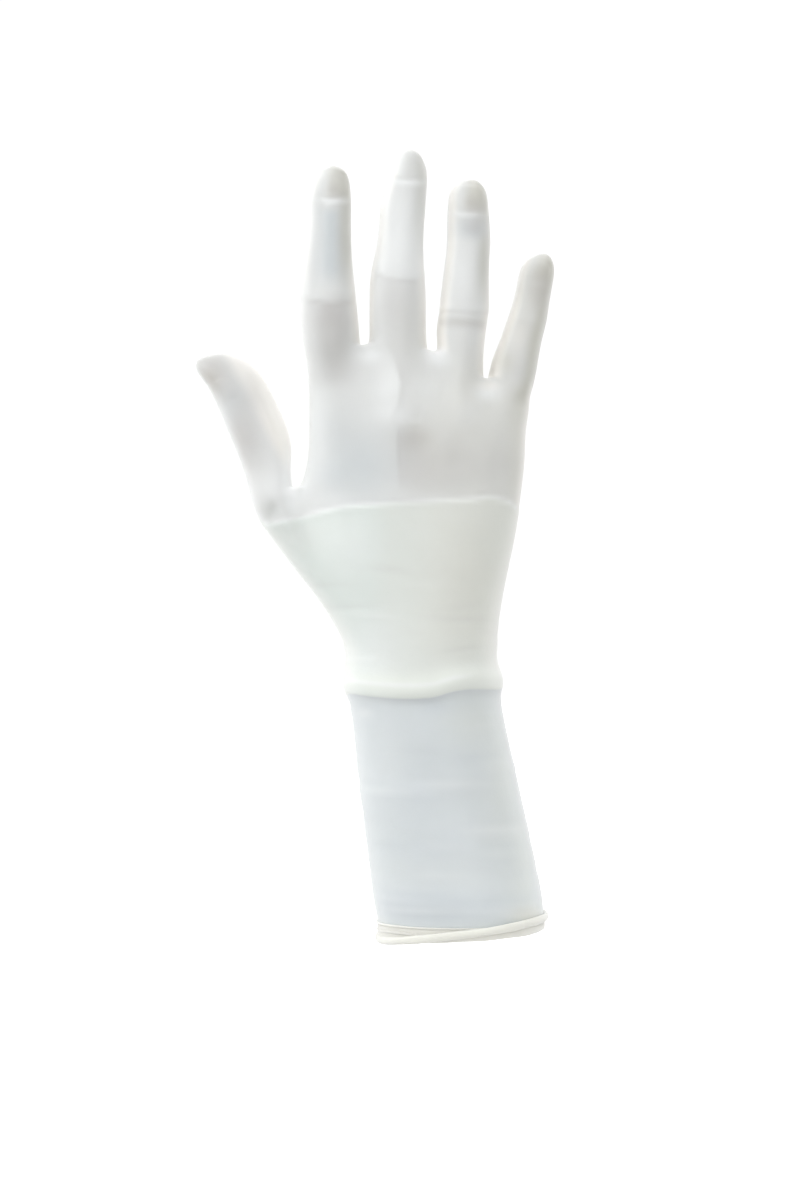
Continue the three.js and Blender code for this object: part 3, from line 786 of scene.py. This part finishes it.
# Two sections of the cuff at its mouth, as in the solids: the left edge and its height, the right
# edge and its height, and half the depth.
MOUTH = (-29.8, -1.5, 30.2, 2.0, 26.5)
ABOVE = (-33.0, 11.5, 31.0, 11.5, 28.0)
SQUARENESS = 2.3  # exponent of both sections, 2 being an ellipse

# The bead's rings: the hem runs from the film's lower edge up to its top. The roll's middle rises
# towards the little finger's side, as the film's edge does.
MOUTH_Z, MOUTH_RISE = 0.25, 1.75  # the film's lower edge: its middle height, and its rise
HEM = dict(top=5.2, thick=1.0, gap=0.25, squareness=3.2)
HEM_SHORTER = 0.7  # how much higher the hem begins on the little finger's side
# drop is how far the lip lies below the hem's top, sunk how deep the fold lies in the hem, wave how
# far a ring sways up and down, rise how far it climbs, and lift the share of the hem's thickness by
# which the roll is lifted where it crosses the hem.
LIP = dict(drop=0.1, wave=0.12, tall=0.8, thick=0.92)
FOLD = dict(rise=3.3, sunk=0.1, tall=0.9, thick=0.7)
ROLL = dict(z=3.1, rise=4.2, wave=0.1, tall=3.1, thick=2.1, lift=0.85)
ROUND = 2.0  # squareness of a round ring
BEAD_STEPS, BEAD_SIDES = 288, 20


def cuff_points(turn, z):
    """Points of the film near its mouth, and the level directions out of it."""

    def at(angle):
        right = np.cos(angle)
        share = (1 + right) / 2
        rise = (1 - np.minimum(1, np.abs(right)) ** SQUARENESS) ** (1 / SQUARENESS)
        side = np.where(np.sin(angle) > 0, -1, 1)
        rows = []
        for left_x, left_z, right_x, right_z, deep in (MOUTH, ABOVE):
            across = left_x + (right_x - left_x) * share
            height = left_z + (right_z - left_z) * share
            rows.append(np.stack([across, side * deep * rise, height], 1))
        low, high = rows
        t = (z - low[:, 2]) / (high[:, 2] - low[:, 2])
        return low + (high - low) * t[:, None]

    ahead = at(turn + 1e-3) - at(turn - 1e-3)
    out = np.stack([-ahead[:, 1], ahead[:, 0], np.zeros(len(turn))], 1)
    return at(turn), out / np.linalg.norm(out, axis=1)[:, None]


def tube(middle, out, tall, thick, squareness):
    """Points and faces of a closed tube round the cuff. tall has a value for each step."""
    around = np.arange(BEAD_SIDES) / BEAD_SIDES * 2 * math.pi
    across, upright = np.cos(around), np.sin(around)
    across = np.sign(across) * np.abs(across) ** (2 / squareness)
    upright = np.sign(upright) * np.abs(upright) ** (2 / squareness)
    points = middle[:, None, :] + out[:, None, :] * (across[None, :, None] * thick / 2)
    points[:, :, 2] += upright[None, :] * tall[:, None] / 2
    steps = len(middle)
    faces = []
    for i in range(steps):
        for j in range(BEAD_SIDES):
            k, m = (i + 1) % steps, (j + 1) % BEAD_SIDES
            faces.append([a * BEAD_SIDES + b for a, b in ((i, j), (i, m), (k, m), (k, j))])
    return points.reshape(-1, 3), faces


def make_bead():
    """The edge of the cuff: a flat hem, a thin lip along its top, a fold that leaves the roll on the
    thumb's side, and a roll that crosses the hem on the back and on the palm's side."""
    turn = np.arange(BEAD_STEPS) / BEAD_STEPS * 2 * math.pi
    right = np.cos(turn)
    wave = 0.04 * np.sin(5 * turn + 1) + 0.03 * np.sin(11 * turn)
    hem_foot = MOUTH_Z + MOUTH_RISE * right + HEM_SHORTER * ramp(0.75, 1, right)
    hem_z, hem_tall = (hem_foot + HEM["top"]) / 2, HEM["top"] - hem_foot
    lip_z = HEM["top"] - LIP["drop"] + LIP["wave"] * np.sin(3 * turn + 0.5)
    roll_z = ROLL["z"] + ROLL["rise"] * right
    fold_z = roll_z + FOLD["rise"] * ramp(0.15, 0.95, -right)
    # where the roll crosses the hem, it lies on it
    reach = 0.4 * (hem_tall + ROLL["tall"])
    lift = np.sqrt(np.maximum(0, 1 - ((roll_z - hem_z) / reach) ** 2))
    uneven_z = roll_z + ROLL["wave"] * np.sin(4 * turn)

    # how far the middle of each ring lies from the film
    hem_off = HEM["gap"] + HEM["thick"] / 2
    lip_off = HEM["gap"] + LIP["tall"] / 2
    fold_off = HEM["gap"] + HEM["thick"] - FOLD["sunk"]
    roll_off = HEM["gap"] + ROLL["thick"] / 2 + ROLL["lift"] * HEM["thick"] * lift

    # (tint, height, distance from the film, how tall, how thick, squareness)
    rings = [
        ("hem", hem_z, hem_off, hem_tall * (1 + wave), HEM["thick"], HEM["squareness"]),
        ("bead", lip_z, lip_off, LIP["tall"] * (1 + 3 * wave), LIP["thick"], ROUND),
        ("hem", fold_z, fold_off, FOLD["tall"] * (1 + 3 * wave), FOLD["thick"], ROUND),
        ("bead", uneven_z, roll_off, ROLL["tall"] * (1 - wave), ROLL["thick"], ROUND),
    ]
    points, faces, tints = [], [], []
    for name, height, off, tall, thick, squareness in rings:
        start = sum(len(part) for part in points)
        base, out = cuff_points(turn, height)
        middle = base + out * np.reshape(off, (-1, 1))
        part, part_faces = tube(middle, out, tall, thick, squareness)
        points.append(part)
        faces += [[start + i for i in face] for face in part_faces]
        tints.append(np.tile(TINTS[name], (len(part), 1)))
    return mesh_object("bead", np.vstack(points), faces, np.vstack(tints))


# Sockets of the node that mixes two colours.
MIX_SHARE, MIX_A, MIX_B, MIX_RESULT = 0, 6, 7, 2

RUBBER = {
    "IOR": 1.48,
    "Subsurface Weight": 0.35,
    "Subsurface Radius": (1, 1, 0.9),
    "Subsurface Scale": 0.004,
    "Sheen Weight": 0.65,
    "Sheen Roughness": 0.5,
}


def nodes_of(name):
    """A new material, its node tree and its shader."""
    material = bpy.data.materials.new(name)
    material.use_nodes = True
    tree = material.node_tree
    return material, tree, tree.nodes["Principled BSDF"]


def noise(tree, scale, detail):
    place = tree.nodes.new("ShaderNodeTexCoord")
    node = tree.nodes.new("ShaderNodeTexNoise")
    node.inputs["Scale"].default_value = scale
    node.inputs["Detail"].default_value = detail
    tree.links.new(place.outputs["Object"], node.inputs["Vector"])
    return node.outputs["Fac"]


def ranged(tree, value, low, high):
    """A noise's middle values, 0.3 to 0.7, spread from low to high."""
    node = tree.nodes.new("ShaderNodeMapRange")
    node.inputs["From Min"].default_value = 0.3
    node.inputs["From Max"].default_value = 0.7
    node.inputs["To Min"].default_value = low
    node.inputs["To Max"].default_value = high
    tree.links.new(value, node.inputs["Value"])
    return node.outputs["Result"]


def bump(tree, scale, detail, strength, distance):
    """Bumps from noise, distance metres deep at full strength."""
    node = tree.nodes.new("ShaderNodeBump")
    node.inputs["Strength"].default_value = strength
    node.inputs["Distance"].default_value = distance
    tree.links.new(noise(tree, scale, detail), node.inputs["Height"])
    return node


def rubber(name):
    """Thin matt rubber: the tint of the mesh with its painted light and shade, mottled a little, with a fine
    grain.
    """
    material, tree, shader = nodes_of(name)
    link = tree.links.new
    mix = tree.nodes.new("ShaderNodeMix")
    mix.data_type = "RGBA"
    mix.blend_type = "MULTIPLY"
    mix.inputs[MIX_SHARE].default_value = 1.0
    source = tree.nodes.new("ShaderNodeAttribute")
    source.attribute_name = "tint"
    link(source.outputs["Color"], mix.inputs[MIX_A])
    cloud = ranged(tree, noise(tree, scale=45, detail=4), 0.965, 1.0)
    grey = tree.nodes.new("ShaderNodeCombineColor")
    for channel in ("Red", "Green", "Blue"):
        link(cloud, grey.inputs[channel])
    link(grey.outputs["Color"], mix.inputs[MIX_B])
    link(mix.outputs[MIX_RESULT], shader.inputs["Base Color"])
    link(ranged(tree, noise(tree, scale=160, detail=3), 0.40, 0.52), shader.inputs["Roughness"])
    for socket, value in RUBBER.items():
        shader.inputs[socket].default_value = value
    grain = bump(tree, scale=1400, detail=2, strength=0.25, distance=0.00012)
    waves = bump(tree, scale=90, detail=3, strength=0.35, distance=0.0008)
    link(waves.outputs["Normal"], grain.inputs["Normal"])
    link(grain.outputs["Normal"], shader.inputs["Normal"])
    return material


def seen_and_felt(tree, seen, felt):
    """A strength that is one number where the camera looks straight at it, another as light."""
    path = tree.nodes.new("ShaderNodeLightPath")
    mix = tree.nodes.new("ShaderNodeMapRange")
    mix.inputs["To Min"].default_value = felt
    mix.inputs["To Max"].default_value = seen
    tree.links.new(path.outputs["Is Camera Ray"], mix.inputs["Value"])
    return mix.outputs["Result"]


FLOOR_HALF, FLOOR_Z = 6000, -120  # half the floor's side, and its height, in mm
FLOOR_SEEN, FLOOR_FELT = 0.8, 0.15  # how brightly the floor glows to the camera, and as light
SKY_SEEN = 1.05  # how bright the sky is to the camera
# How bright the studio is in front of the object and behind it, and what is added above.
FRONT_FILL, BACK_FILL, TOP_FILL = 0.38, 0.95, 0.85


def make_stage():
    """A plain white floor below the cuff."""
    half, low = FLOOR_HALF, FLOOR_Z
    corners = [(-half, -half, low), (half, -half, low), (half, half, low), (-half, half, low)]
    floor = mesh_object("floor", corners, [(0, 1, 2, 3)])
    material, tree, shader = nodes_of("floor_white")
    shader.inputs["Base Color"].default_value = (0.5, 0.5, 0.5, 1)
    shader.inputs["Roughness"].default_value = 0.9
    shader.inputs["Emission Color"].default_value = (1, 1, 1, 1)
    strength = seen_and_felt(tree, FLOOR_SEEN, FLOOR_FELT)
    tree.links.new(strength, shader.inputs["Emission Strength"])
    floor.data.materials.append(material)


def soft_light(name, place, size, power, aim=(-0.02, 0, 0.16)):
    """A rectangular lamp that faces aim."""
    light = bpy.data.lights.new(name, "AREA")
    light.shape = "RECTANGLE"
    light.size, light.size_y = size
    light.energy = power
    lamp = bpy.data.objects.new(name, light)
    lamp.location = place
    lamp.rotation_euler = (Vector(aim) - Vector(place)).to_track_quat("-Z", "Y").to_euler()
    bpy.context.scene.collection.objects.link(lamp)


def make_world():
    """A white studio, brighter behind the object and above it than in front."""
    world = bpy.data.worlds.new("studio")
    world.use_nodes = True
    tree = world.node_tree
    sky = tree.nodes["Background"]
    sky.inputs["Color"].default_value = (1, 1, 1, 1)
    place = tree.nodes.new("ShaderNodeTexCoord")
    axes = tree.nodes.new("ShaderNodeSeparateXYZ")
    tree.links.new(place.outputs["Generated"], axes.inputs["Vector"])
    total = tree.nodes.new("ShaderNodeMath")
    for slot, axis, start, low, high in (
        (0, "Y", -0.2, FRONT_FILL, BACK_FILL),
        (1, "Z", 0, 0, TOP_FILL),
    ):
        share = tree.nodes.new("ShaderNodeMapRange")
        share.inputs["From Min"].default_value = start
        share.inputs["To Min"].default_value = low
        share.inputs["To Max"].default_value = high
        tree.links.new(axes.outputs[axis], share.inputs["Value"])
        tree.links.new(share.outputs["Result"], total.inputs[slot])
    strength = seen_and_felt(tree, SKY_SEEN, 0)
    # what the object feels of the sky is the sum of both shares
    tree.links.new(total.outputs["Value"], strength.node.inputs["To Min"])
    tree.links.new(strength, sky.inputs["Strength"])
    bpy.context.scene.world = world


# The camera looks level at the back of the hand, from DISTANCE in front of Y = 0, where the frame
# shows a field FIELD tall round this middle.
DISTANCE, FIELD = 1.11, 0.456
MIDDLE_X, MIDDLE_Z = -0.0232, 0.127
SENSOR = 36


def make_camera():
    data = bpy.data.cameras.new("camera")
    data.sensor_fit = "VERTICAL"
    data.sensor_height = SENSOR
    data.lens = SENSOR * DISTANCE / FIELD
    camera = bpy.data.objects.new("camera", data)
    camera.location = (MIDDLE_X, -DISTANCE, MIDDLE_Z)
    camera.rotation_euler = (math.pi / 2, 0, 0)
    bpy.context.scene.collection.objects.link(camera)
    bpy.context.scene.camera = camera


film = make_film(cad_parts["glove_film"])
film.data.materials.append(rubber("film_rubber"))
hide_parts("glove_film")
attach(film, "root")

bead = make_bead()
bead.data.materials.append(rubber("bead_rubber"))
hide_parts("cuff_bead")
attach(bead, "root")

make_stage()
make_world()
soft_light("key", place=(-0.75, -0.25, 0.60), size=(0.5, 0.5), power=3.0)
soft_light("front", place=(0.1, -1.5, 0.4), size=(1.0, 0.8), power=6.3)
soft_light("rim", place=(-1.0, 0.55, 0.30), size=(0.8, 1.0), power=2.6)
soft_light("far_rim", place=(0.9, 0.35, 0.20), size=(0.6, 0.8), power=1.3, aim=(0, 0, 0.12))
make_camera()
bpy.context.scene.view_settings.view_transform = "Standard"
